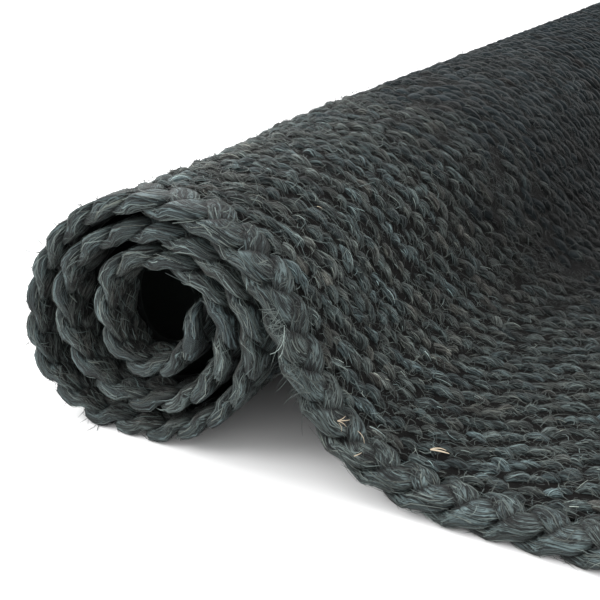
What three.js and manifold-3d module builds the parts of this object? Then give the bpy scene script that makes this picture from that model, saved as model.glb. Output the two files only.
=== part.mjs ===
// A jute rug, 1 m by 1.5 m, with one short end rolled under in three loose turns.
// It has a woven field and a flat plaited border sewn round it.
// Millimetres. X runs along the rug, away from the roll. Y runs along the roll. Z is up.
import * as THREE from 'three';
import { mergeVertices } from 'three/addons/utils/BufferGeometryUtils.js';
import Module from 'manifold-3d';

const wasm = await Module();
wasm.setup();

// Points of a mesh closer than this are one point
const WELD_DISTANCE = 1e-4;

// Driving dimensions
const RUG_WIDTH = 1000;
const RUG_LENGTH = 1500;
const CLOTH_THICKNESS = 8.5;
const BORDER_WIDTH = 20;
const SEAM_GAP = 0.3;
const EDGE_ROUNDING = 2.5;

// The middle of the roll's open core, which the turns are measured around
const CORE_X = 5;
const CORE_Z = 55;

// Where the turns start and end, in degrees around the core, counted on from turn to turn
const CREST_DEGREES = 90;
const INNER_END_DEGREES = 1106;
const TURN_ROW_DEGREES = 30;

// Spacing of the points along the cloth, and number of steps across it
const SPIRAL_STEPS_A_ROW = 5;
const BEND_STEP = 8.4;
const FLAT_STEP = 330;
const CROSS_STEPS = 6;

// The roll swells by this much at its upper left, away from its front end
const SWELL = 5;
const SWELL_START = 60;
const SWELL_END = 220;
const SWELL_REACH = 50;
const SWELL_X = -0.67;
const SWELL_Z = 0.74;

// The foot of the right flank spreads by this much, away from the roll's front end
const SPREAD = 32;
const SPREAD_START = 90;
const SPREAD_END = 300;
// Where along the cloth this begins near the crest, is full at the foot, and has faded on the floor
const FLANK_TOP = 640;
const FLANK_FOOT = 770;
const FADE_START = 820;
const FADE_END = 1280;

// Distance from the core to the middle of the cloth in each turn.
// The rows go round to the left from the crest, which is at 90 degrees.
const TURNS = [
  { degrees: 90, outer: 44.1, middle: 33.4, inner: 23.3 },
  { degrees: 120, outer: 44.0, middle: 33.2, inner: 22.2 },
  { degrees: 150, outer: 47.6, middle: 37.0, inner: 21.0 },
  { degrees: 180, outer: 54.9, middle: 41.9, inner: 20.3 },
  { degrees: 210, outer: 63.5, middle: 42.9, inner: 21.7 },
  { degrees: 240, outer: 58.6, middle: 41.2, inner: 24.0 },
  { degrees: 270, outer: 50.6, middle: 37.5, inner: 23.6 },
  { degrees: 300, outer: 46.4, middle: 35.1, inner: 22.9 },
  { degrees: 330, outer: 45.2, middle: 34.0, inner: 22.5 },
  { degrees: 360, outer: 45.3, middle: 34.1, inner: 22.3 },
  { degrees: 390, outer: 41.7, middle: 31.6, inner: 21.8 },
  { degrees: 420, outer: 36.6, middle: 26.6, inner: 21.0 },
];

// The right flank, from the crest down to the floor: points of the middle of the cloth
const FLANK = [
  { x: 28, z: 96 },
  { x: 43, z: 87.5 },
  { x: 55, z: 75 },
  { x: 61.5, z: 61.5 },
  { x: 66.5, z: 49 },
  { x: 72.5, z: 37.5 },
  { x: 80, z: 26 },
  { x: 91, z: 15.5 },
  { x: 105, z: 8.8 },
  { x: 120, z: 5.6 },
  { x: 136, z: 4.4 },
  { x: 152, z: CLOTH_THICKNESS / 2 },
];

// The wound turns from the inner end out to the crest
function woundPoints() {
  const distances = ['outer', 'middle', 'inner'].flatMap((turn) => TURNS.map((row) => row[turn]));
  const spiral = new THREE.SplineCurve(distances.map((distance, i) => new THREE.Vector2(i, distance)));
  const endRow = (INNER_END_DEGREES - CREST_DEGREES) / TURN_ROW_DEGREES;
  const steps = Math.round(endRow * SPIRAL_STEPS_A_ROW);
  const points = [];
  for (let i = steps; i >= 0; i -= 1) {
    const row = (endRow * i) / steps;
    const distance = spiral.getPoint(row / (distances.length - 1)).y;
    const angle = THREE.MathUtils.degToRad(CREST_DEGREES + row * TURN_ROW_DEGREES);
    points.push(new THREE.Vector3(
      CORE_X + distance * Math.cos(angle),
      CORE_Z + distance * Math.sin(angle),
      0,
    ));
  }
  return points;
}

// The middle line of the cloth, from the loose inner end to the flat end.
// Nothing is lower than the floor, so the roll stands on a small flat spot.
function clothLine() {
  const flank = FLANK.map(({ x, z }) => new THREE.Vector3(x, z, 0));
  const bend = new THREE.CatmullRomCurve3([...woundPoints(), ...flank], false, 'centripetal');
  bend.arcLengthDivisions = 2000;
  const bendLength = bend.getLength();
  const bendPoints = bend.getSpacedPoints(Math.round(bendLength / BEND_STEP));
  const last = flank[flank.length - 1];
  const flatLength = RUG_LENGTH - bendLength;
  const flatSteps = Math.round(flatLength / FLAT_STEP);
  const points = bendPoints.map((p) => new THREE.Vector2(p.x, Math.max(last.y, p.y)));
  for (let i = 1; i <= flatSteps; i += 1) {
    points.push(new THREE.Vector2(last.x + (flatLength * i) / flatSteps, last.y));
  }
  return points;
}

// The part of a line between two distances from its start
function lineBetween(points, from, to) {
  const part = [];
  let travelled = 0;
  for (let i = 0; i < points.length - 1; i += 1) {
    const start = points[i];
    const end = points[i + 1];
    const length = start.distanceTo(end);
    const next = travelled + length;
    if (next > from && travelled < to) {
      if (part.length === 0) {
        part.push(start.clone().lerp(end, Math.max(0, (from - travelled) / length)));
      }
      part.push(start.clone().lerp(end, Math.min(1, (to - travelled) / length)));
    }
    travelled = next;
  }
  return part;
}

// The closed outline of cloth of one thickness along a line
function clothOutline(line, thickness) {
  const left = [];
  const right = [];
  line.forEach((point, i) => {
    const before = line[Math.max(0, i - 1)];
    const after = line[Math.min(line.length - 1, i + 1)];
    const side = after.clone().sub(before).normalize();
    const offset = new THREE.Vector2(-side.y, side.x).multiplyScalar(thickness / 2);
    left.push(point.clone().add(offset));
    right.push(point.clone().sub(offset));
  });
  return new THREE.Shape([...left, ...right.reverse()]);
}

// How far along the cloth the point of its middle line is that lies nearest to a place
function distanceAlong(line, x, z) {
  const place = new THREE.Vector2(x, z);
  let travelled = 0;
  let nearest = { gap: Infinity, along: 0 };
  line.forEach((point, i) => {
    travelled += i > 0 ? point.distanceTo(line[i - 1]) : 0;
    const gap = point.distanceTo(place);
    if (gap < nearest.gap) {
      nearest = { gap, along: travelled };
    }
  });
  return nearest.along;
}

// The slow change of the roll's shape along its length, away from its front end
function uneven(x, y, z, along) {
  const { smoothstep } = THREE.MathUtils;
  const reach = ((x - CORE_X) * SWELL_X + (z - CORE_Z) * SWELL_Z) / SWELL_REACH;
  const swell = SWELL * smoothstep(y, SWELL_START, SWELL_END) * Math.max(0, reach) ** 2;
  const foot = smoothstep(along, FLANK_TOP, FLANK_FOOT) * (1 - smoothstep(along, FADE_START, FADE_END));
  const spread = SPREAD * smoothstep(y, SPREAD_START, SPREAD_END) * foot;
  return [x + swell * SWELL_X + spread, y, z + swell * SWELL_Z];
}

// Stands an extrusion up so that it runs along Y from a start, and makes it uneven
function layAlongRoll(geometry, line, start) {
  const position = geometry.getAttribute('position');
  for (let i = 0; i < position.count; i += 1) {
    const x = position.getX(i);
    const z = position.getY(i);
    const y = start + position.getZ(i);
    position.setXYZ(i, ...uneven(x, y, z, distanceAlong(line, x, z)));
  }
  geometry.deleteAttribute('normal');
  geometry.deleteAttribute('uv');
  const merged = mergeVertices(geometry, WELD_DISTANCE);
  // Swapping two axes turned the faces inside out, so each triangle is reversed
  const index = merged.getIndex();
  for (let i = 0; i < index.count; i += 3) {
    const second = index.getX(i + 1);
    index.setX(i + 1, index.getX(i + 2));
    index.setX(i + 2, second);
  }
  merged.computeVertexNormals();
  return merged;
}

function toManifold(geometry) {
  return new wasm.Manifold(new wasm.Mesh({
    numProp: 3,
    vertProperties: new Float32Array(geometry.getAttribute('position').array),
    triVerts: new Uint32Array(geometry.getIndex().array),
  }));
}

function fromManifold(solid) {
  const mesh = solid.getMesh();
  const geometry = new THREE.BufferGeometry();
  geometry.setAttribute('position', new THREE.BufferAttribute(mesh.vertProperties, 3));
  geometry.setIndex(new THREE.BufferAttribute(mesh.triVerts, 1));
  geometry.computeVertexNormals();
  return geometry;
}

// The woven field, inside the border on all four sides
function fieldGeometry(line) {
  const inset = BORDER_WIDTH + SEAM_GAP;
  const fieldLine = lineBetween(line, inset, RUG_LENGTH - inset);
  const width = RUG_WIDTH - 2 * inset;
  const slab = new THREE.ExtrudeGeometry(clothOutline(fieldLine, CLOTH_THICKNESS), {
    depth: width,
    steps: CROSS_STEPS,
    bevelEnabled: false,
  });
  return layAlongRoll(slab, line, inset);
}

// One side of the border, wound with the roll, with rounded edges
function rimGeometry(line, start) {
  const rim = new THREE.ExtrudeGeometry(clothOutline(line, CLOTH_THICKNESS), {
    depth: BORDER_WIDTH - 2 * EDGE_ROUNDING,
    steps: 1,
    bevelEnabled: true,
    bevelThickness: EDGE_ROUNDING,
    bevelSize: EDGE_ROUNDING,
    bevelOffset: -EDGE_ROUNDING,
    bevelSegments: 2,
  });
  return layAlongRoll(rim, line, start + EDGE_ROUNDING);
}

// One end of the border, straight along the roll
function endGeometry(line, from, to) {
  const overlap = BORDER_WIDTH / 2;
  const end = new THREE.ExtrudeGeometry(clothOutline(lineBetween(line, from, to), CLOTH_THICKNESS), {
    depth: RUG_WIDTH - 2 * overlap,
    steps: CROSS_STEPS,
    bevelEnabled: false,
  });
  return layAlongRoll(end, line, overlap);
}

// The whole plaited border, one closed loop round the field
function borderGeometry(line) {
  const innerEnd = endGeometry(line, EDGE_ROUNDING, BORDER_WIDTH);
  const flatEnd = endGeometry(line, RUG_LENGTH - BORDER_WIDTH, RUG_LENGTH - EDGE_ROUNDING);
  const loop = toManifold(rimGeometry(line, 0))
    .add(toManifold(rimGeometry(line, RUG_WIDTH - BORDER_WIDTH)))
    .add(toManifold(innerEnd))
    .add(toManifold(flatEnd));
  return fromManifold(loop);
}

const line = clothLine();

const fieldMaterial = new THREE.MeshStandardMaterial({
  color: 0x3c4244,
  roughness: 0.85,
  metalness: 0,
});

const borderMaterial = new THREE.MeshStandardMaterial({
  color: 0x454c4e,
  roughness: 0.75,
  metalness: 0,
});

const field = new THREE.Mesh(fieldGeometry(line), fieldMaterial);
field.name = 'woven_field';

const border = new THREE.Mesh(borderGeometry(line), borderMaterial);
border.name = 'plaited_border';

// The origin is on the floor, below the middle of the whole rug
const rug = new THREE.Group();
rug.add(field, border);
const box = new THREE.Box3().setFromObject(rug);
rug.position.set(-(box.min.x + box.max.x) / 2, -(box.min.y + box.max.y) / 2, -box.min.z);

export default rug;
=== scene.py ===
"""A jute rug, 1 m by 1.5 m, with one short end rolled under. Its weave, plaited border and loose fibres."""
import math

import bpy
import numpy as np
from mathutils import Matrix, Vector


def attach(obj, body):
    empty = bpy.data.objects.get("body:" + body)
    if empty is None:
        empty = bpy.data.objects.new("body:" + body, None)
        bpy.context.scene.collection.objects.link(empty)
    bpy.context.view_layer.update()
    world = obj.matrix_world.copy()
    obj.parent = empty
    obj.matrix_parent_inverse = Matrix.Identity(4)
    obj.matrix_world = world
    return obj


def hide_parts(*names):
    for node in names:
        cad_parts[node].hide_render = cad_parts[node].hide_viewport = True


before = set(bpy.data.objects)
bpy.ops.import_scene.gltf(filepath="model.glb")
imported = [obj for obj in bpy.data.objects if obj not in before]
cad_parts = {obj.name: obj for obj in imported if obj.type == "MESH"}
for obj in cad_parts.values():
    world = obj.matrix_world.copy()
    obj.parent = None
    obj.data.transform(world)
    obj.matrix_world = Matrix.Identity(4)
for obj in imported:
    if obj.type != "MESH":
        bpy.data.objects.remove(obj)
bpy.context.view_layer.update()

# Sizes in millimetres, as in the solids
RUG_WIDTH = 1000.0
RUG_LENGTH = 1500.0
HALF_CLOTH = 4.25
BORDER_WIDTH = 20.0
SEAM_GAP = 0.3
INSET = BORDER_WIDTH + SEAM_GAP
CORE_X, CORE_Z = 5.0, 55.0
CREST_DEGREES, INNER_END_DEGREES, ROW_DEGREES = 90.0, 1106.0, 30.0
SHIFT_X, SHIFT_Y = -377.89, -500.0
MM = 0.001

# Distance from the core to the middle of the cloth, every 30 degrees round to the left from the crest
OUTER_TURN = [44.1, 44.0, 47.6, 54.9, 63.5, 58.6, 50.6, 46.4, 45.2, 45.3, 41.7, 36.6]
MIDDLE_TURN = [33.4, 33.2, 37.0, 41.9, 42.9, 41.2, 37.5, 35.1, 34.0, 34.1, 31.6, 26.6]
INNER_TURN = [23.3, 22.2, 21.0, 20.3, 21.7, 24.0, 23.6, 22.9, 22.5, 22.3, 21.8, 21.0]
STEPS_A_ROW = 5

# The right flank, from the crest down to the floor: x and z of the middle of the cloth
FLANK = [(28, 96), (43, 87.5), (55, 75), (61.5, 61.5), (66.5, 49), (72.5, 37.5),
         (80, 26), (91, 15.5), (105, 8.8), (120, 5.6), (136, 4.4), (152, HALF_CLOTH)]

# The cloth's outward direction is averaged over this many millimetres
NORMAL_SPAN = 7

# The roll swells at its upper left and the foot of its flank spreads, both away from the front end.
# Each pair is where a change begins and where it is full, along the roll (T) or along the cloth (S).
SWELL, SWELL_X, SWELL_Z, SWELL_REACH = 5, -0.67, 0.74, 50
SWELL_T = (60, 220)
SPREAD = 32
SPREAD_T, FOOT_S, FADE_S = (90, 300), (640, 770), (820, 1280)

# The loose end leans into the core by this much at the front
LOOSE_END_IN = 3.0
LOOSE_END_S, LOOSE_END_T = (5, 90), (30, 120)

# No cord or fibre is lower than this
LOWEST_Z = 0.25

# The ground that the weave's floats rise from: heights above the middle of the cloth
GROUND_TOP, GROUND_BOTTOM = 1.3, -4.1
UNDER_SIDE_UV = 2000.0

# The weave: floats of two-ply cord in slanting rows. Two steps lead from one float to its neighbours.
FLOAT_STEP = (8.6, 5.6)
ROW_STEP = (-7.6, 6.6)
FIRST_FLOAT = 760
FLOAT_SLANT = math.atan2(FLOAT_STEP[1], FLOAT_STEP[0])
PLY_SLANT = math.radians(14)
PLY_APART, PLY_STAGGER = 1.6, 2.4
# Both plies of a float are built up to about this far from the front, beyond it the float as a whole
NEAR_ENDS, NEAR_RAGGED, NEAR_DRIFT = 225, 28, 25


def smoothstep(x, low, high):
    k = np.clip((np.asarray(x, float) - low) / (high - low), 0, 1)
    return k * k * (3 - 2 * k)


# The middle line of the cloth

def spline_value(values, at):
    """A uniform Catmull-Rom spline through the values."""
    padded = np.concatenate([[values[0]], values, [values[-1]]])
    i = np.minimum(np.floor(at).astype(int), len(values) - 2)
    u = at - i
    p0, p1, p2, p3 = (padded[i + k] for k in range(4))
    v0, v1 = (p2 - p0) / 2, (p3 - p1) / 2
    return (2 * p1 - 2 * p2 + v0 + v1) * u ** 3 + (-3 * p1 + 3 * p2 - 2 * v0 - v1) * u ** 2 + v0 * u + p1


def smooth_curve(points, steps=12):
    """A centripetal Catmull-Rom curve through the points."""
    p = np.array(points, float)
    p = np.vstack([2 * p[0] - p[1], p, 2 * p[-1] - p[-2]])
    out = []
    for i in range(1, len(p) - 2):
        p0, p1, p2, p3 = p[i - 1], p[i], p[i + 1], p[i + 2]
        t0 = 0.0
        t1 = t0 + np.linalg.norm(p1 - p0) ** 0.5
        t2 = t1 + np.linalg.norm(p2 - p1) ** 0.5
        t3 = t2 + np.linalg.norm(p3 - p2) ** 0.5
        t = np.linspace(t1, t2, steps, endpoint=False)[:, None]
        a1 = (t1 - t) / (t1 - t0) * p0 + (t - t0) / (t1 - t0) * p1
        a2 = (t2 - t) / (t2 - t1) * p1 + (t - t1) / (t2 - t1) * p2
        a3 = (t3 - t) / (t3 - t2) * p2 + (t - t2) / (t3 - t2) * p3
        b1 = (t2 - t) / (t2 - t0) * a1 + (t - t0) / (t2 - t0) * a2
        b2 = (t3 - t) / (t3 - t1) * a2 + (t - t1) / (t3 - t1) * a3
        out.append((t2 - t) / (t2 - t1) * b1 + (t - t1) / (t2 - t1) * b2)
    out.append(p[-2][None])
    return np.vstack(out)


def cloth_line():
    """x, z and the outward direction of the cloth's middle at each millimetre from the inner end."""
    distances = np.array(OUTER_TURN + MIDDLE_TURN + INNER_TURN)
    end_row = (INNER_END_DEGREES - CREST_DEGREES) / ROW_DEGREES
    rows = np.linspace(end_row, 0, round(end_row * STEPS_A_ROW) + 1)
    radius = spline_value(distances, rows)
    angle = np.radians(CREST_DEGREES + rows * ROW_DEGREES)
    wound = np.stack([CORE_X + radius * np.cos(angle), CORE_Z + radius * np.sin(angle)], axis=1)
    curve = smooth_curve(np.vstack([wound, FLANK]))
    along = np.concatenate([[0], np.cumsum(np.linalg.norm(np.diff(curve, axis=0), axis=1))])
    bend = along[-1]
    s = np.arange(0, RUG_LENGTH + 1)
    x = np.where(s < bend, np.interp(s, along, curve[:, 0]), FLANK[-1][0] + s - bend)
    z = np.where(s < bend, np.interp(s, along, curve[:, 1]), HALF_CLOTH)
    z = np.maximum(z, HALF_CLOTH)
    dx, dz = np.gradient(x), np.gradient(z)
    kernel = np.ones(NORMAL_SPAN) / NORMAL_SPAN
    dx = np.convolve(np.pad(dx, NORMAL_SPAN // 2, mode="edge"), kernel, "valid")
    dz = np.convolve(np.pad(dz, NORMAL_SPAN // 2, mode="edge"), kernel, "valid")
    length = np.hypot(dx, dz)
    return s, x, z, -dz / length, dx / length


LINE_S, LINE_X, LINE_Z, LINE_NX, LINE_NZ = cloth_line()


def place(s, t, h):
    """Points of the rug in metres: s along the cloth, t along the roll, h out from the cloth's middle."""
    s, t, h = np.broadcast_arrays(np.asarray(s, float), np.asarray(t, float), np.asarray(h, float))
    inside = np.clip(s, 0, RUG_LENGTH)
    h = h - LOOSE_END_IN * (1 - smoothstep(s, *LOOSE_END_S)) * (1 - smoothstep(t, *LOOSE_END_T))
    nx, nz = np.interp(inside, LINE_S, LINE_NX), np.interp(inside, LINE_S, LINE_NZ)
    over = s - inside
    x = np.interp(inside, LINE_S, LINE_X) + h * nx + over * nz
    z = np.interp(inside, LINE_S, LINE_Z) + h * nz - over * nx
    reach = ((x - CORE_X) * SWELL_X + (z - CORE_Z) * SWELL_Z) / SWELL_REACH
    swell = SWELL * smoothstep(t, *SWELL_T) * np.maximum(0, reach) ** 2
    foot = smoothstep(s, *FOOT_S) * (1 - smoothstep(s, *FADE_S))
    spread = SPREAD * smoothstep(t, *SPREAD_T) * foot
    x, z = x + SWELL_X * swell + spread, np.maximum(z + SWELL_Z * swell, LOWEST_Z)
    return np.stack([x + SHIFT_X, t + SHIFT_Y, z], axis=-1) * MM


# Meshes

def add_mesh(name, points, faces, uv=None, attributes=None):
    """A smooth mesh of quads with one UV pair per point and named numbers per point."""
    points = np.asarray(points, np.float32).reshape(-1, 3)
    faces = np.asarray(faces, np.int32)
    mesh = bpy.data.meshes.new(name)
    sides = faces.shape[1]
    mesh.vertices.add(len(points))
    mesh.vertices.foreach_set("co", points.ravel())
    mesh.loops.add(faces.size)
    mesh.loops.foreach_set("vertex_index", faces.ravel())
    mesh.polygons.add(len(faces))
    mesh.polygons.foreach_set("loop_start", np.arange(0, faces.size, sides, dtype=np.int32))
    mesh.polygons.foreach_set("loop_total", np.full(len(faces), sides, np.int32))
    mesh.polygons.foreach_set("use_smooth", np.ones(len(faces), bool))
    if uv is not None:
        layer = mesh.uv_layers.new(name="fibre")
        layer.data.foreach_set("uv", np.asarray(uv, np.float32).reshape(-1, 2)[faces.ravel()].ravel())
    for key, values in (attributes or {}).items():
        attribute = mesh.attributes.new(key, "FLOAT", "POINT")
        attribute.data.foreach_set("value", np.asarray(values, np.float32).ravel())
    mesh.update()
    mesh.validate()
    obj = bpy.data.objects.new(name, mesh)
    bpy.context.scene.collection.objects.link(obj)
    return obj


def grid_faces(count, rows, columns):
    """Quads of count grids, each of rows by columns points, one after another."""
    r, c = np.meshgrid(np.arange(rows - 1), np.arange(columns - 1), indexing="ij")
    corners = [(r, c), (r, c + 1), (r + 1, c + 1), (r + 1, c)]
    one = np.stack([row * columns + column for row, column in corners], axis=-1).reshape(-1, 4)
    return (one[None] + (np.arange(count) * rows * columns)[:, None, None]).reshape(-1, 4)


# Materials

class Nodes:
    """Short calls that build one material's node tree."""

    def __init__(self, name):
        self.material = bpy.data.materials.new(name)
        self.material.use_nodes = True
        self.tree = self.material.node_tree
        self.shader = self.tree.nodes["Principled BSDF"]

    def add(self, kind, values=None, **settings):
        node = self.tree.nodes.new(kind)
        for key, value in settings.items():
            setattr(node, key, value)
        for key, value in (values or {}).items():
            if isinstance(value, bpy.types.NodeSocket):
                self.tree.links.new(value, node.inputs[key])
            else:
                node.inputs[key].default_value = value
        return node

    def number(self, name):
        node = self.add("ShaderNodeAttribute", attribute_type="GEOMETRY", attribute_name=name)
        return node.outputs["Fac"]

    def scaled_uv(self, along, across):
        uv = self.add("ShaderNodeUVMap", uv_map="fibre").outputs["UV"]
        return self.add("ShaderNodeMapping", {"Vector": uv, "Scale": (along, across, 1.0)}).outputs["Vector"]

    def math(self, operation, a, b):
        return self.add("ShaderNodeMath", {0: a, 1: b}, operation=operation).outputs[0]

    def blend(self, a, b, share):
        """share of a and the rest of b."""
        return self.math("ADD", self.math("MULTIPLY", a, share), self.math("MULTIPLY", b, 1 - share))

    def span(self, value, low, high, to_low=0.0, to_high=1.0):
        return self.add("ShaderNodeMapRange", {"Value": value, "From Min": low, "From Max": high,
                                               "To Min": to_low, "To Max": to_high}).outputs["Result"]

    def mix(self, factor, a, b, blend="MIX"):
        node = self.add("ShaderNodeMix", data_type="RGBA", blend_type=blend)
        for key, value in (("Factor_Float", factor), ("A_Color", a), ("B_Color", b)):
            socket = next(i for i in node.inputs if i.identifier == key)
            if isinstance(value, bpy.types.NodeSocket):
                self.tree.links.new(value, socket)
            else:
                socket.default_value = value if key == "Factor_Float" else (*value, 1.0)
        return next(o for o in node.outputs if o.identifier == "Result_Color")

    def shaded(self, colour, shade):
        """The colour times a number."""
        grey = self.add("ShaderNodeCombineColor", {"Red": shade, "Green": shade, "Blue": shade})
        return self.mix(1.0, colour, grey.outputs["Color"], "MULTIPLY")

    def noise(self, vector, scale, detail=2.0, roughness=0.5, distortion=0.0):
        node = self.add("ShaderNodeTexNoise", {"Vector": vector, "Scale": scale, "Detail": detail,
                                               "Roughness": roughness, "Distortion": distortion})
        return node.outputs["Fac"]

    def bump(self, height, strength, distance):
        return self.add("ShaderNodeBump", {"Height": height, "Strength": strength,
                                           "Distance": distance}).outputs["Normal"]

    def ramp(self, value, stops):
        """Colours for a value. The first and the last stop come first, then the one between them."""
        node = self.add("ShaderNodeValToRGB", {"Fac": value})
        elements = node.color_ramp.elements
        for i, (position, colour) in enumerate(stops):
            element = elements[i] if i < 2 else elements.new(position)
            element.position = position
            element.color = (*colour, 1.0)
        return node.outputs["Color"]

    def set(self, **values):
        for key, value in values.items():
            socket = self.shader.inputs[key.replace("_", " ")]
            if isinstance(value, bpy.types.NodeSocket):
                self.tree.links.new(value, socket)
            else:
                socket.default_value = value


# What the dyed cord's colour is multiplied by where it is bluest and where it is brownest
CORD_BLUEST, CORD_BROWNEST = (0.93, 0.995, 1.07), (1.25, 0.96, 0.88)
FIBRE_BLUEST, FIBRE_BROWNEST = (0.95, 1.0, 1.03), (1.2, 0.98, 0.86)


def cord_material(name, dark, middle, light, bump, darkest_crevice_shade, streak, spread=0.1, shine=0.16):
    """Dyed jute: fine streaks along the cord, each cord a little lighter, bluer or browner than the next,
    with painted shade in its crevices.
    """
    n = Nodes(name)
    strands = n.noise(n.scaled_uv(0.13, streak), 1.0, 3.0, 0.8, 0.8)
    tufts = n.noise(n.scaled_uv(0.07, 0.3), 1.0, 2.0, 0.6, 0.6)
    height = n.blend(strands, tufts, 0.7)
    colour = n.ramp(height, [(0.5 - spread, dark), (0.5 + spread, light), (0.5, middle)])
    tint = n.number("tint")
    colour = n.mix(n.span(tint, 0.0, 1.0), colour, n.mix(1.0, colour, CORD_BROWNEST, "MULTIPLY"))
    colour = n.mix(n.span(tint, 0.0, -1.0), colour, n.mix(1.0, colour, CORD_BLUEST, "MULTIPLY"))
    # Painted shade: the colour is darkened low on each cord and in the crevices between the cords
    crevice = n.span(n.number("crevice_shade"), 0.0, 1.0, darkest_crevice_shade, 1.0)
    colour = n.shaded(colour, n.math("MULTIPLY", n.number("tone"), crevice))
    n.set(Base_Color=colour, Roughness=n.span(strands, 0.3, 0.7, 0.8, 0.55),
          Normal=n.bump(height, bump, 0.0012),
          Specular_IOR_Level=shine, Sheen_Weight=shine / 4, Sheen_Roughness=0.45)
    return n.material


def ground_material(name):
    """The cords that lie deeper: an uneven weave painted dark as the shade between the floats, calmer and
    less dark far from the front, and lighter underneath.
    """
    n = Nodes(name)
    uv = n.add("ShaderNodeUVMap", uv_map="fibre").outputs["UV"]
    strands = n.noise(n.scaled_uv(0.12, 1.1), 1.0, 3.0, 0.65, 0.5)
    rows = n.add("ShaderNodeTexWave", {"Vector": uv, "Scale": 0.55, "Distortion": 3.0, "Detail": 2.0},
                 wave_type="BANDS", bands_direction="Y").outputs["Fac"]
    height = n.blend(strands, rows, 0.5)
    # Painted shade: the deep weave is far darker than the floats above it
    colour = n.ramp(height, [(0.3, (0.002, 0.0017, 0.0016)), (0.75, (0.0135, 0.0135, 0.0128)),
                             (0.5, (0.0052, 0.0049, 0.0046))])
    across = n.add("ShaderNodeSeparateXYZ", {"Vector": uv}).outputs["Y"]
    colour = n.mix(n.span(across, 150.0, 400.0), colour, (0.0055, 0.0066, 0.0069))
    underneath = n.span(across, UNDER_SIDE_UV - 100, UNDER_SIDE_UV - 50)
    colour = n.mix(underneath, colour, (0.024, 0.03, 0.027))
    n.set(Base_Color=colour, Roughness=0.85, Normal=n.bump(height, 0.8, 0.0015), Specular_IOR_Level=0.1)
    return n.material


def fibre_material(name, light):
    """Loose fibres that catch the light."""
    n = Nodes(name)
    bluest, brownest = (tuple(part * k for part, k in zip(light, times))
                        for times in (FIBRE_BLUEST, FIBRE_BROWNEST))
    colour = n.mix(n.span(n.number("tint"), -1.0, 1.0), bluest, brownest)
    n.set(Base_Color=n.shaded(colour, n.number("tone")), Roughness=0.6, Specular_IOR_Level=0.2)
    return n.material


FIELD_CORD = cord_material(
    "field_cord", (0.0021, 0.0028, 0.0028), (0.0119, 0.0158, 0.0156), (0.0685, 0.09, 0.0885),
    bump=1.0, darkest_crevice_shade=0.1, streak=1.0)
# Calmer and darker than the near cord at the front: on the crest and the flank its darkness is painted shade,
# carrying on the painted fall-off of light toward the back
FAR_CORD = cord_material(
    "far_field_cord", (0.0082, 0.0109, 0.0119), (0.0116, 0.0154, 0.0166), (0.019, 0.025, 0.0266),
    bump=0.2, darkest_crevice_shade=0.5, streak=0.4, shine=0.04)
BORDER_CORD = cord_material(
    "border_cord", (0.0021, 0.0028, 0.0028), (0.0137, 0.0185, 0.0186), (0.101, 0.135, 0.135),
    bump=0.9, darkest_crevice_shade=0.11, streak=1.0, spread=0.085)
GROUND = ground_material("deep_weave_painted_shade")
LOOSE_FIBRE = fibre_material("loose_fibre", (0.06, 0.079, 0.078))
STRAW = fibre_material("straw", (0.36, 0.34, 0.27))


# Unevenness

def drift(seed, scale, count=10):
    """A slow seeded variation over the rug, about -1 to 1, that changes over the given distance."""
    picks = np.random.default_rng(seed)
    angles = picks.uniform(0, 2 * math.pi, count)
    waves = picks.uniform(0.5, 1.6, count) * 2 * math.pi / scale
    phases = picks.uniform(0, 2 * math.pi, count)

    def value(s, t):
        total = 0.0
        for angle, wave, phase in zip(angles, waves, phases):
            total = total + np.sin((s * math.cos(angle) + t * math.sin(angle)) * wave + phase)
        return total / math.sqrt(count)

    return value


ROW_DRIFT, STEP_DRIFT = drift(11, 90), drift(12, 70)
TONE_DRIFT, TINT_DRIFT = drift(13, 60), drift(14, 40)
BAND_DRIFT, PATCH_DRIFT = drift(15, 13), drift(16, 17)


def bands(s, t):
    """A variation that follows the rows of the weave: slow along them and quick across them."""
    along = s * math.cos(FLOAT_SLANT) + t * math.sin(FLOAT_SLANT)
    across = t * math.cos(FLOAT_SLANT) - s * math.sin(FLOAT_SLANT)
    return BAND_DRIFT(along / 6, across)


def painted_flank_and_valley_shading(s, t):
    """Painted light and shade on the cord: painted light low on the near flank, painted shade in the valley
    beside the roll farther back.
    """
    flank = smoothstep(s, 680, 712) * (1 - smoothstep(s, 765, 805)) * (1 - smoothstep(t, 80, 170))
    valley = smoothstep(s, 695, 735) * (1 - smoothstep(s, 800, 1000)) * smoothstep(t, 120, 240)
    return 1 + 0.26 * flank - 0.44 * valley * (1 - 0.5 * smoothstep(t, 420, 700))


def aside(s):
    """0 on the roll's crest and right flank, 1 away from them."""
    return np.maximum(smoothstep(s, 820, 1060), 1 - smoothstep(s, 440, 570))


def even_out_painted_shading(s, t, calm):
    """Evens the painted light and shade out to one tone of near and far cord away from the crest and the
    flank; on the crest and the flank the near cord is painted darker farther back, as painted shade, and it
    is a little darker on the roll's left side.
    """
    if calm:
        return 1 + 0.75 * aside(s)
    left_side = 1 - smoothstep(s, 440, 590)
    farther = smoothstep(t, 110, 225)
    return (1 - 0.3 * aside(s)) * (1 - 0.15 * left_side) * (1 - 0.24 * farther * (1 - aside(s)))


# The woven field

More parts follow.
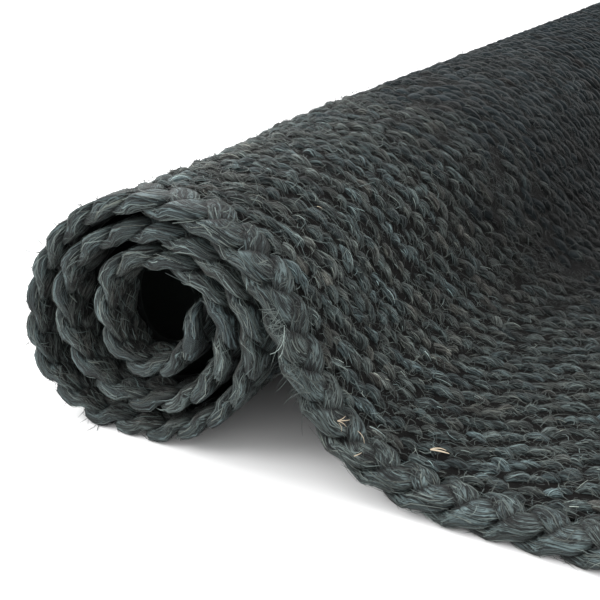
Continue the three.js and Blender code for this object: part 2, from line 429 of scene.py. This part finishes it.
def ground_slab():
    """The body of the field, a thin closed slab that follows the roll."""
    bend_end = 900
    s = np.concatenate([np.arange(INSET, bend_end, 6.0), np.linspace(bend_end, RUG_LENGTH - INSET, 30)])
    t = np.linspace(INSET, RUG_WIDTH - INSET, 31)
    S, T = np.meshgrid(s, t, indexing="ij")
    rows, columns = S.shape
    top, bottom = place(S, T, GROUND_TOP), place(S, T, GROUND_BOTTOM)
    points = np.concatenate([top.reshape(-1, 3), bottom.reshape(-1, 3)])
    sheet = grid_faces(1, rows, columns)
    low = rows * columns
    index = np.arange(low).reshape(rows, columns)
    rim = np.concatenate([index[:, 0], index[-1, 1:], index[-2::-1, -1], index[0, -2:0:-1]])
    after = np.roll(rim, -1)
    wall = np.stack([after, rim, rim + low, after + low], axis=1)
    uv = np.stack([S, T], axis=-1).reshape(-1, 2)
    faces = np.concatenate([sheet[:, ::-1], sheet + low, wall[:, ::-1]])
    obj = add_mesh("field_ground", points, faces, np.concatenate([uv, uv + UNDER_SIDE_UV]))
    obj.data.materials.append(GROUND)
    return obj


def lattice(s_low, s_high, t_low, t_high, plies=2):
    """Centres of the weave's floats in a stretch of the rug, or of the two plies of each."""
    steps = np.arange(-260, 260)
    i, j = (g.ravel() for g in np.meshgrid(steps, steps, indexing="ij"))
    s = FIRST_FLOAT + i * FLOAT_STEP[0] + j * ROW_STEP[0]
    t = i * FLOAT_STEP[1] + j * ROW_STEP[1]
    margin = 20
    close = (abs(s - (s_low + s_high) / 2) < (s_high - s_low) / 2 + margin)
    close &= abs(t - (t_low + t_high) / 2) < (t_high - t_low) / 2 + margin
    s, t = s[close], t[close]
    ragged = np.random.default_rng(31).normal(NEAR_ENDS, NEAR_RAGGED, len(s)) + NEAR_DRIFT * TONE_DRIFT(s, t)
    near = t < ragged if plies == 2 else t >= ragged
    s, t = s[near], t[near]
    along = PLY_STAGGER * np.array([math.cos(PLY_SLANT), math.sin(PLY_SLANT)])
    apart = PLY_APART * np.array([-math.sin(PLY_SLANT), math.cos(PLY_SLANT)])
    signs = (-1, 1) if plies == 2 else (0,)
    s = np.concatenate([s + sign * (along[0] + apart[0]) for sign in signs])
    t = np.concatenate([t + sign * (along[1] + apart[1]) for sign in signs])
    keep = (s >= s_low) & (s < s_high) & (t >= t_low) & (t < t_high)
    keep &= (s > INSET) & (s < RUG_LENGTH - INSET) & (t > INSET) & (t < RUG_WIDTH - INSET)
    return s[keep], t[keep]


class Floats:
    """Floats of cord: each rises from the ground, arches over and dips again.

    calm is 0 for the plies of the near cord and 1 for the whole, broader cord farther back.
    side is 1 on the face of the rug and -1 on its under side.
    """

    def __init__(self, s, t, seed, side=1, calm=0.0):
        picks = np.random.default_rng(seed)
        uneven = 1 - 0.45 * calm
        n = len(s)
        self.count, self.side, self.picks = n, side, picks

        def each(low, high):
            return picks.uniform(low, high, n)[:, None]

        self.half_length = (6.0 + 0.4 * calm) * each(0.75, 1.25)
        self.half_width = (2.4 + 1.7 * calm) * each(0.75, 1.25)
        self.half_height = (2.0 + 0.3 * calm) * each(0.8, 1.15)
        self.slant = PLY_SLANT + np.radians(picks.normal(-2, 13 + 6 * calm, n))[:, None]
        self.lean = each(-0.3, 0.3)
        self.curl = each(-1.0, 1.0)
        self.low = -1.3 + 0.6 * calm
        self.top = 3.0 - 0.9 * calm + uneven * each(-0.9, 0.5)
        self.skew = each(-0.3, 0.3)
        slide, stray = each(-1.8, 1.8), (1 + 0.8 * calm) * each(-0.7, 0.7)
        cos, sin = math.cos(FLOAT_SLANT), math.sin(FLOAT_SLANT)
        self.s = (s + 1.5 * STEP_DRIFT(s, t))[:, None] + slide * cos - stray * sin
        self.t = (t + 1.2 * ROW_DRIFT(s, t))[:, None] + slide * sin + stray * cos
        self.twist = each(-0.45, 0.45)
        self.start = each(0, 900)
        patches = 0.14 * TONE_DRIFT(s, t) + 0.22 * uneven * PATCH_DRIFT(s, t)
        self.tone = np.clip(1 + patches + uneven * picks.normal(0, 0.24, n), 0.4, 1.9)
        # Painted light: the near cord is painted lighter at the front end and darker farther back, as the
        # light falls off
        self.tone *= 1.36 - 0.42 * smoothstep(t, 70, 300)
        # Painted light and shade on the flank and in the valley, evened out away from the crest and the flank
        self.tone *= painted_flank_and_valley_shading(s, t) * even_out_painted_shading(s, t, calm)
        warm = (-0.2 if side > 0 else 0.7) + (0.4 if calm else -0.3) * aside(s)
        warm = warm + 0.3 * smoothstep(s, 690, 720) * (1 - smoothstep(s, 780, 830))
        stray_tint = 0.35 * TINT_DRIFT(s, t) + 0.4 * bands(s, t) + uneven * picks.normal(0, 0.4, n)
        self.tint = np.clip(warm + stray_tint, -1, 1)

    def surface(self, u, a, lift=0.0, take=slice(None)):
        """Place in the rug for u along each float, -1 to 1, and angle a round it, 0 at its top."""
        half_length, slant = self.half_length[take], self.slant[take]
        width = self.half_width[take] * (1 - 0.5 * np.abs(u + self.lean[take] * (1 - u * u)) ** 2.3)
        across = (width + lift) * np.sin(a) + self.curl[take] * (1 - u * u) * 1.2
        rise = self.low + self.top[take] * (1 - np.abs(u + self.skew[take] * (1 - u * u)) ** 2) ** 0.85
        S = self.s[take] + u * half_length * np.cos(slant) - across * np.sin(slant)
        T = self.t[take] + u * half_length * np.sin(slant) + across * np.cos(slant)
        H = rise + (self.half_height[take] * (1 - 0.35 * u * u) + lift) * np.cos(a)
        return S, T, H

    def mesh(self, name, along, around, material):
        """All floats as one mesh, along by around quads each, open where they rest on the ground."""
        n = self.count
        open_at = 108
        u, a = np.meshgrid(np.linspace(-1, 1, along + 1),
                           np.radians(np.linspace(-open_at, open_at, around + 1)), indexing="ij")
        u, a = u.reshape(1, -1), a.reshape(1, -1)
        ridges = np.repeat(self.picks.uniform(-1, 1, (n, 1, around + 1)), along + 1, axis=1).reshape(n, -1)
        bumps = self.picks.uniform(-1, 1, (n, u.shape[1]))
        S, T, H = self.surface(u, a + 0.2 * self.twist * u, 0.3 * ridges + 0.15 * bumps)
        u_mm = u * self.half_length + self.start
        v_mm = a * self.half_width * 1.1 + self.twist * u * self.half_length + self.start[::-1]
        faces = grid_faces(n, along + 1, around + 1)
        if self.side < 0:
            faces = faces[:, ::-1]
        full = np.ones_like(S)
        # Painted shade: each float is darker low down, where it meets the ground
        obj = add_mesh(name, place(S, T, self.side * H), faces, np.stack([u_mm, v_mm * full], axis=-1),
                       {"tone": self.tone[:, None] * full, "tint": self.tint[:, None] * full,
                        "crevice_shade": smoothstep(H, -0.4, 3.3)})
        obj.data.materials.append(material)
        return obj

    def fibres(self, name, each, steps=4):
        """Fine fibres that lie along the floats and stand a little off them."""
        picks = self.picks
        n = self.count * each
        take = np.tile(np.arange(self.count), each)
        k = np.linspace(0, 1, steps + 1)[None]
        start = picks.uniform(-0.95, 0.3, (n, 1))
        end = np.minimum(start + picks.uniform(0.5, 1.5, (n, 1)), 1.0)
        u = start + (end - start) * k
        a = np.radians(picks.uniform(-70, 70, (n, 1)) + picks.normal(0, 26, (n, 1)) * (k - 0.5))
        loose = picks.random((n, 1)) < 0.25
        lift = 0.12 + picks.uniform(0, 0.5, (n, 1)) * np.sin(math.pi * k) \
            + np.where(loose, picks.uniform(0.4, 2.2, (n, 1)), 0.0) * k ** 2
        half = picks.uniform(0.07, 0.17, (n, 1)) * (1 - 0.5 * k ** 3)
        edge = half / self.half_width[take]
        sides = [self.surface(u, a + sign * edge, lift, take) for sign in (-1, 1)]
        # Painted shade: the fibres are darker where they lie low on the floats
        full = 0.15 + 0.85 * smoothstep(np.stack([H for S, T, H in sides], axis=2), 0.3, 3.6)
        sides = [place(S, T, self.side * H) for S, T, H in sides]
        tone = self.tone[take] * np.exp(picks.normal(-0.15, 0.5, n))
        tint = np.clip(self.tint[take] + picks.normal(0, 0.3, n), -1, 1)
        obj = add_mesh(name, np.stack(sides, axis=2), grid_faces(n, steps + 1, 2), None,
                       {"tone": tone[:, None, None] * full, "tint": tint[:, None, None] * np.ones_like(full)})
        obj.data.materials.append(LOOSE_FIBRE)
        return obj


def both_ends(s_low, s_high, reach):
    """The floats' centres within reach of the two open ends of the roll."""
    return (np.concatenate(pair) for pair in zip(
        lattice(s_low, s_high, 0, reach), lattice(s_low, s_high, RUG_WIDTH - reach, RUG_WIDTH, 1)))


# The outer face starts at this place along the cloth: below it the cloth is hidden in the roll
FACE_START = 385.0
# Inside the roll and underneath, the weave is built this far in from the open ends
SEEN_FROM_ENDS = 50

ground = ground_slab()
near = Floats(*lattice(FACE_START, 1100, 0, 330), seed=21)
field_pieces = [
    near.mesh("floats_front", 6, 4, FIELD_CORD),
    near.fibres("fibres_on_floats", 5),
    Floats(*lattice(FACE_START, 1500, 100, 480, 1), seed=22, calm=1.0).mesh("floats_middle", 5, 3, FAR_CORD),
    Floats(*lattice(1100, 1500, 0, 330), seed=23).mesh("floats_flat_end", 4, 3, FIELD_CORD),
    Floats(*lattice(FACE_START, 900, 480, 1000, 1), seed=24, calm=1.0).mesh(
        "floats_back_roll", 4, 3, FAR_CORD),
    Floats(*lattice(900, 1500, 480, 1000, 1), seed=25, calm=1.0).mesh("floats_back_flat", 4, 3, FAR_CORD),
    Floats(*both_ends(0, FACE_START, SEEN_FROM_ENDS), seed=26).mesh("floats_inner_turns", 4, 3, FIELD_CORD),
    Floats(*both_ends(0, 840, SEEN_FROM_ENDS), seed=27, side=-1).mesh("floats_under_side", 4, 3, FIELD_CORD),
]


# The plaited border

PLAIT_PERIOD = 47.3
PLAIT_SWEEP, PLAIT_LIFT = 5.0, 2.4
PLAIT_LATE, PLAIT_BULGE = 0.38, 0.16
STRAND_WIDTH, STRAND_HEIGHT = 5.9, 3.3
STRAND_SQUARENESS = 0.8
STRAND_SIDES = 12
STRANDS = 3
CORNER_RADIUS = 9.0
# The cords are squeezed into the border's box: across and in height, first the free part, then the room
FREE_ACROSS, FREE_UP = (8.0, 2.0), (2.6, 1.7)
# A point this far out from the border's middle lies on its outside
OUTSIDE_ACROSS, OUTSIDE_UP = 9.9, 4.1
# The last stretch of the loop, round the inner end, has rings as close as the front edge
FINE_LAST = 75


def pressed(value, free, room):
    """Values beyond the free distance are squeezed into the room that is left."""
    beyond = np.maximum(np.abs(value) - free, 0)
    return np.sign(value) * (np.minimum(np.abs(value), free) + room * (1 - np.exp(-beyond / room)))


def border_path(inset):
    """A closed loop at that inset, from the front inner corner: points, outward directions, distances."""
    radius = CORNER_RADIUS
    low_s, high_s, low_t, high_t = inset, RUG_LENGTH - inset, inset, RUG_WIDTH - inset
    corners = [((high_s - radius, low_t + radius), -90), ((high_s - radius, high_t - radius), 0),
               ((low_s + radius, high_t - radius), 90), ((low_s + radius, low_t + radius), 180)]
    points, outward = [np.array([low_s + radius, low_t])], [np.array([0.0, -1.0])]
    for (s, t), start in corners:
        for degrees in np.linspace(start, start + 90, 9):
            direction = np.array([math.cos(math.radians(degrees)), math.sin(math.radians(degrees))])
            points.append(np.array([s, t]) + radius * direction)
            outward.append(direction)
    points, outward = np.array(points), np.array(outward)
    along = np.concatenate([[0], np.cumsum(np.linalg.norm(np.diff(points, axis=0), axis=1))])
    return points, outward, along


class Strand:
    """One of the three cords of the plait, a closed tube."""

    def __init__(self, index):
        self.index = index
        self.points, self.outward, self.along = border_path(BORDER_WIDTH / 2)
        self.total = self.along[-1]
        self.periods = round(self.total / PLAIT_PERIOD)
        self.picks = np.random.default_rng(40 + index)
        self.knots = {key: self.picks.uniform(-1, 1, self.periods * many)
                      for key, many in (("sway", 3), ("swell", 4), ("tone", 3), ("tint", 1), ("lift", 3))}

    def slow(self, key, distance):
        """A slow seeded variation along the cord."""
        values = np.append(self.knots[key], self.knots[key][0])
        return np.interp(distance, np.linspace(0, self.total, len(values)), values)

    def path(self, distance, ahead_by=0):
        """Across, height, slope and fullness of the cord. The next cords are a third of a period ahead."""
        phase = 2 * math.pi * (distance / self.total * self.periods + (self.index + ahead_by) / STRANDS)
        turn = phase + PLAIT_LATE * np.cos(2 * phase)
        slope = PLAIT_SWEEP * np.cos(turn) * (1 - 2 * PLAIT_LATE * np.sin(2 * phase)) \
            * 2 * math.pi / PLAIT_PERIOD
        bulge = 1 + PLAIT_BULGE * np.cos(2 * (phase - 1.8))
        return PLAIT_SWEEP * np.sin(turn), -PLAIT_LIFT * np.tanh(1.7 * np.sin(2 * phase)), slope, bulge

    def surface(self, distance, ring, lift=0.0):
        """The cord at a distance along the border and an angle round it. Arrays of one shape.

        Gives the place in the rug, how clear of the other cords it is, and how far out in the border's box.
        """
        centre = [np.interp(distance, self.along, self.points[:, k]) for k in range(2)]
        out = [np.interp(distance, self.along, self.outward[:, k]) for k in range(2)]
        length = np.hypot(*out)
        out = [c / length for c in out]
        ahead = [-out[1], out[0]]
        across, height, slope, bulge = self.path(distance)
        across = across + 0.3 * self.slow("sway", distance)
        height = height + 0.2 * self.slow("lift", distance)
        swell = bulge * (1 + 0.07 * self.slow("swell", distance))
        scale = 1 / np.hypot(1, slope)
        cos, sin = np.cos(ring), np.sin(ring)
        wide = (STRAND_WIDTH * swell + lift) * np.sign(cos) * np.abs(cos) ** STRAND_SQUARENESS
        tall = (STRAND_HEIGHT * swell + lift) * np.sign(sin) * np.abs(sin) ** STRAND_SQUARENESS
        a, b = pressed(across + scale * wide, *FREE_ACROSS), -slope * scale * wide
        S = centre[0] + out[0] * a + ahead[0] * b
        T = centre[1] + out[1] * a + ahead[1] * b
        clear = self.clearance(distance + b, across + scale * wide, height + tall)
        H = pressed(height + tall, *FREE_UP)
        far_out = (np.abs(a / OUTSIDE_ACROSS) ** 4 + np.abs(H / OUTSIDE_UP) ** 4) ** 0.25
        return (S, T, H), clear, far_out

    def clearance(self, distance, across, height):
        """How far a point stands clear of the other two cords, upwards or outwards, whichever is less."""
        most = 9.0
        clear = np.full(np.shape(height), most)
        up, out = np.sign(height), np.sign(across)
        for ahead_by in (1, 2):
            middle, lift, slope, bulge = self.path(distance, ahead_by)
            half_width, half_height = STRAND_WIDTH * bulge * np.hypot(1, slope), STRAND_HEIGHT * bulge
            over = 1 - ((across - middle) / half_width) ** 2
            beside = 1 - ((height - lift) / half_height) ** 2
            rise = up * (height - lift) - half_height * np.sqrt(np.maximum(over, 0))
            reach = out * (across - middle) - half_width * np.sqrt(np.maximum(beside, 0))
            clear = np.minimum(clear, np.where(over > 0, rise, most))
            clear = np.minimum(clear, np.where(beside > 0, reach, most))
        return clear

    def tube(self):
        """Points, UV, tone, tint, painted crevice shade and quads of the cord."""
        front = RUG_LENGTH - BORDER_WIDTH
        fine, coarse = PLAIT_PERIOD / 24, PLAIT_PERIOD / 12
        rings = np.concatenate([np.arange(0, front, fine), np.arange(front, self.total - FINE_LAST, coarse),
                                np.arange(self.total - FINE_LAST, self.total - 1, fine)])
        ring = np.linspace(0, 2 * math.pi, STRAND_SIDES, endpoint=False)
        distance, angle = np.meshgrid(rings, ring, indexing="ij")
        ridges = 0.12 * np.sin(5 * (angle + distance / 14) + self.index) \
            + self.picks.uniform(-0.16, 0.16, angle.shape)
        (S, T, H), clear, far_out = self.surface(distance, angle, ridges)
        uv = np.stack([distance * 1.15 + self.index * 611.0,
                       angle * 4.1 + 0.3 * distance + self.index * 97.0], axis=-1)
        under = smoothstep(-H, 1.5, 3.8)
        tone = (0.95 + 0.18 * self.slow("tone", distance)) * (1 - 0.4 * under)
        tint = 0.5 * self.slow("tint", distance) - 0.2 + 1.1 * under
        # Painted shade: darker deep in the border's box and where the cord meets the other cords
        crevice_shade = smoothstep(far_out, 0.5, 0.9) * smoothstep(clear, -0.1, 2.3)
        r, c = np.meshgrid(np.arange(len(rings)), np.arange(STRAND_SIDES), indexing="ij")
        nr, nc = (r + 1) % len(rings), (c + 1) % STRAND_SIDES
        quads = np.stack([a * STRAND_SIDES + b for a, b in ((r, c), (nr, c), (nr, nc), (r, nc))], axis=-1)
        return place(S, T, H), uv, tone, tint, crevice_shade, quads.reshape(-1, 4)

    def fibre_parts(self, count, span, steps=4):
        """Both edges, tone and tint of fine fibres that lie along the cord or stand off it."""
        picks = self.picks
        k = np.linspace(0, 1, steps + 1)[None]
        begin = picks.uniform(*span, (count, 1)) % self.total
        length = picks.uniform(3, 12, (count, 1)) * np.where(picks.random((count, 1)) < 0.5, -1, 1)
        distance = np.clip(begin + length * k, 0, self.total)
        angle = picks.uniform(0, 2 * math.pi, (count, 1)) + picks.normal(0, 0.8, (count, 1)) * (k - 0.5) \
            - 0.02 * length * k
        loose = picks.random((count, 1)) < 0.22
        lift = 0.15 + picks.uniform(0, 0.5, (count, 1)) * np.sin(math.pi * k) \
            + np.where(loose, picks.uniform(0.6, 4.0, (count, 1)), 0.0) * k ** 2
        edge = picks.uniform(0.07, 0.17, (count, 1)) * (1 - 0.5 * k ** 3) / 4.0
        sides = []
        for sign in (-1, 1):
            spot, clear, _ = self.surface(distance, angle + sign * edge, lift)
            sides.append(place(*spot))
        shade = 0.15 + 0.85 * smoothstep(clear, 0.2, 2.6)
        tone = np.minimum(np.exp(picks.normal(-0.1, 0.55, count)), 2.0)
        tint = np.clip(picks.normal(-0.05, 0.3, count), -1, 1)
        return np.stack(sides, axis=2), tone[:, None] * shade, tint[:, None] * np.ones_like(shade)


def border_plait(name, strands):
    """The three cords as one mesh."""
    tubes = [strand.tube() for strand in strands]
    points, uv, tone, tint, crevice_shade = (
        np.concatenate([tube[k].reshape(-1, width) for tube in tubes])
        for k, width in ((0, 3), (1, 2), (2, 1), (3, 1), (4, 1)))
    starts = np.cumsum([0] + [tube[2].size for tube in tubes[:-1]])
    faces = np.concatenate([tube[5] + start for tube, start in zip(tubes, starts)])
    obj = add_mesh(name, points, faces, uv, {"tone": tone, "tint": tint, "crevice_shade": crevice_shade})
    obj.data.materials.append(BORDER_CORD)
    return obj


def border_fibres(name, strands, count, span):
    """Loose fibres along a span of the border, count on each cord."""
    parts = [strand.fibre_parts(count, span) for strand in strands]
    points = np.concatenate([part[0] for part in parts])
    n, rows = points.shape[:2]
    full = np.ones((n, rows, 2))
    tone, tint = (np.concatenate([part[k] for part in parts])[:, :, None] * full for k in (1, 2))
    obj = add_mesh(name, points, grid_faces(n, rows, 2), None, {"tone": tone, "tint": tint})
    obj.data.materials.append(LOOSE_FIBRE)
    return obj


strands = [Strand(index) for index in range(STRANDS)]
plait = border_plait("border_plait", strands)


# Loose fibres

def ribbons(name, s, t, h, heading, length, width, bend, lift, tone, tint, material, steps):
    """Flat fibres: each starts at a place on the rug, heads off, bends and lifts."""
    n = len(s)
    k = np.linspace(0, 1, steps + 1)[None]
    turn = heading[:, None] + bend[:, None] * (k - 0.5)
    move = length[:, None] / steps
    mid = (turn[:, 1:] + turn[:, :-1]) / 2
    ds = np.concatenate([np.zeros((n, 1)), np.cumsum(np.cos(mid) * move, axis=1)], axis=1)
    dt = np.concatenate([np.zeros((n, 1)), np.cumsum(np.sin(mid) * move, axis=1)], axis=1)
    S, T = s[:, None] + ds, t[:, None] + dt
    H = h[:, None] + lift[:, 0:1] * np.sin(k * math.pi) + lift[:, 1:2] * k ** 2
    half = width[:, None] / 2 * (1 - 0.6 * k ** 3)
    left = place(S - np.sin(turn) * half, T + np.cos(turn) * half, H)
    right = place(S + np.sin(turn) * half, T - np.cos(turn) * half, H)
    points = np.stack([left, right], axis=2)
    full = np.ones((n, steps + 1, 2))
    obj = add_mesh(name, points, grid_faces(n, steps + 1, 2), None,
                   {"tone": tone[:, None, None] * full, "tint": tint[:, None, None] * full})
    obj.data.materials.append(material)
    return obj


def field_fuzz(name, count, s_range, t_range, seed, brightness=1.0):
    """Short fibres that lie on the field in all directions, more of them along the cords."""
    picks = np.random.default_rng(seed)
    s, t = picks.uniform(*s_range, count), picks.uniform(*t_range, count)
    loose = picks.random(count) < 0.2
    heading = PLY_SLANT + picks.normal(0, 0.9, count) + math.pi * (picks.random(count) < 0.5)
    length = picks.uniform(2.5, 8, count)
    lift = np.stack([picks.uniform(0.0, 0.9, count),
                     np.where(loose, picks.uniform(0.8, 4.5, count), 0.1)], axis=1)
    height = picks.uniform(1.8, 4.2, count)
    # Painted shade: fibres lying lower are darker, and the painted light and shade of the flank and valley
    # carries over
    tone = brightness * np.exp(picks.normal(-0.2, 0.45, count)) * smoothstep(height, 0.0, 4.0) * painted_flank_and_valley_shading(s, t)
    # Darker farther back, as painted shade, and darker on the flat from s 880 on
    tone *= (1 - 0.6 * smoothstep(s, 880, 1030)) * (1 - 0.4 * smoothstep(t, 110, 230))
    width = picks.uniform(0.13, 0.3, count)
    bend = picks.normal(0, 1.3, count)
    tint = np.clip(picks.normal(0, 0.4, count), -1, 1)
    return ribbons(name, s, t, height, heading, length, width, bend, lift, tone, tint, LOOSE_FIBRE, steps=3)


# Where longer fibres stand off the rug: how many, s and t range, heading, its spread, length, lift, tone
TUFTS = [
    (30, (712, 722), (0, 4), -95, 22, (8, 17), (0.5, 3.0), 1.7),
    (26, (730, 746), (-1, 4), -80, 35, (6, 18), (-2.0, 3.0), 0.9),
    (60, (590, 650), (0, 12), -60, 60, (4, 11), (1.0, 4.0), 0.7),
    (70, (596, 640), (12, 90), 0, 80, (5, 14), (1.0, 5.0), 0.7),
    (60, (500, 600), (0, 10), -100, 60, (3, 8), (0.5, 2.5), 0.6),
    (40, (650, 712), (18, 40), -60, 50, (6, 14), (1.0, 3.0), 0.9),
]
# Undyed straws caught in the cords: s, t, heading, length, width, bend
STRAWS = [
    (760, 6, 80, 5.5, 0.34, 0.4), (760, 6, 62, 7.0, 0.4, 0.3), (760, 6, 26, 4.6, 0.36, -0.3),
    (761, 6, -34, 3.6, 0.3, -0.4), (768.6, 12, -25, 6.0, 0.34, -0.8), (774, 0.5, 72, 4.5, 0.36, 0.5),
    (796, 29.5, 16, 7.5, 1.1, 0.3), (796.5, 30.5, 24, 5.5, 0.7, -0.3), (690, 60, 30, 2.5, 0.3, 0.4),
]
STRAW_HEIGHT = 4.6


def tufts(name):
    """The longer fibres of the table."""
    picks = np.random.default_rng(61)
    rows = []
    for count, s_range, t_range, heading, spread, length, lift, tone in TUFTS:
        rows.append(np.stack([
            picks.uniform(*s_range, count), picks.uniform(*t_range, count), picks.uniform(2.5, 4.2, count),
            np.radians(heading + picks.normal(0, spread, count)), picks.uniform(*length, count),
            picks.uniform(0.14, 0.32, count), picks.normal(0, 0.7, count), picks.uniform(*lift, count),
            tone * np.exp(picks.normal(0, 0.4, count))]))
    s, t, h, heading, length, width, bend, rise, tone = np.concatenate(rows, axis=1)
    lift = np.stack([np.full_like(rise, 0.6), rise], axis=1)
    tint = np.zeros_like(s)
    return ribbons(name, s, t, h, heading, length, width, bend, lift, tone, tint, LOOSE_FIBRE, steps=6)


def straws(name):
    """The straws of the table."""
    s, t, heading, length, width, bend = np.array(STRAWS, float).T
    lift = np.tile([0.5, 0.2], (len(s), 1))
    h, tone, tint = (np.full_like(s, value) for value in (STRAW_HEIGHT, 1.0, 0.3))
    return ribbons(name, s, t, h, np.radians(heading), length, width, bend, lift, tone, tint, STRAW, steps=5)


fuzz = [
    tufts("tufts"),
    straws("straws"),
    field_fuzz("fibres_front", 14000, (600, 1050), (13, 230), 51),
    # Painted shade: the middle fibres, by the valley, are made darker
    field_fuzz("fibres_middle", 12000, (600, 1000), (200, 480), 53, brightness=0.75),
    field_fuzz("fibres_back", 3000, (FACE_START, 1300), (400, 985), 52, brightness=0.55),
    border_fibres("fibres_on_border", strands, 5300, (-70, 1130)),
]


# Each piece hangs on the root, and the solid it stands for is hidden

dressing = [*field_pieces, plait, *fuzz]
for piece in [ground, *dressing]:
    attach(piece, "root")
    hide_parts("plaited_border" if piece is plait else "woven_field")


# Floor, light and camera

LIGHTS_AIM = np.array([-0.28, -0.47, 0.03])
LIGHT_DISTANCE, LIGHT_SIZE = 1.6, 0.9
# Name, azimuth, elevation and power
LIGHTS = [("left", -145, 32, 15.0), ("back_left", 140, 32, 9.0), ("left_high", 170, 60, 16.0)]
WORLD_STRENGTH = 1.6
CAMERA_PLACE = (-0.17729, -0.7477, 0.1919)
CAMERA_AZIMUTH, CAMERA_ELEVATION = math.radians(27.47), math.radians(22.64)
CAMERA_LENS = 53.742


def add_floor():
    bpy.ops.mesh.primitive_plane_add(size=30, location=(0, 0, 0))
    floor = bpy.context.object
    floor.name = "floor"
    n = Nodes("pale_floor")
    mottle = n.noise(n.add("ShaderNodeTexCoord").outputs["Object"], 3.0, 2.0)
    colour = n.mix(mottle, (0.79, 0.79, 0.793), (0.81, 0.81, 0.81))
    n.set(Base_Color=colour, Roughness=0.7, Specular_IOR_Level=0.2)
    floor.data.materials.append(n.material)


def add_light(name, azimuth, elevation, power):
    """A soft round light that the camera doesn't see, aimed at the roll's front end."""
    a, e = math.radians(azimuth), math.radians(elevation)
    away = np.array([math.cos(a) * math.cos(e), math.sin(a) * math.cos(e), math.sin(e)])
    light = bpy.data.lights.new(name, "AREA")
    light.shape = "DISK"
    light.size = LIGHT_SIZE
    light.energy = power
    obj = bpy.data.objects.new(name, light)
    bpy.context.scene.collection.objects.link(obj)
    obj.location = LIGHTS_AIM + LIGHT_DISTANCE * away
    obj.rotation_euler = Vector(-away).to_track_quat("-Z", "Y").to_euler()
    obj.visible_camera = False


def add_world():
    world = bpy.data.worlds.new("studio")
    world.use_nodes = True
    background = world.node_tree.nodes["Background"]
    background.inputs["Color"].default_value = (1.0, 1.0, 1.0, 1.0)
    background.inputs["Strength"].default_value = WORLD_STRENGTH
    bpy.context.scene.world = world


def add_camera():
    data = bpy.data.cameras.new("camera")
    data.lens = CAMERA_LENS
    data.sensor_width = 36.0
    data.sensor_fit = "HORIZONTAL"
    data.clip_start = 0.01
    camera = bpy.data.objects.new("camera", data)
    bpy.context.scene.collection.objects.link(camera)
    camera.location = CAMERA_PLACE
    camera.rotation_euler = (math.pi / 2 - CAMERA_ELEVATION, 0.0, CAMERA_AZIMUTH)
    bpy.context.scene.camera = camera


add_floor()
add_world()
for light in LIGHTS:
    add_light(*light)
bpy.context.scene.view_settings.view_transform = "Standard"
bpy.context.scene.view_settings.look = "None"
add_camera()
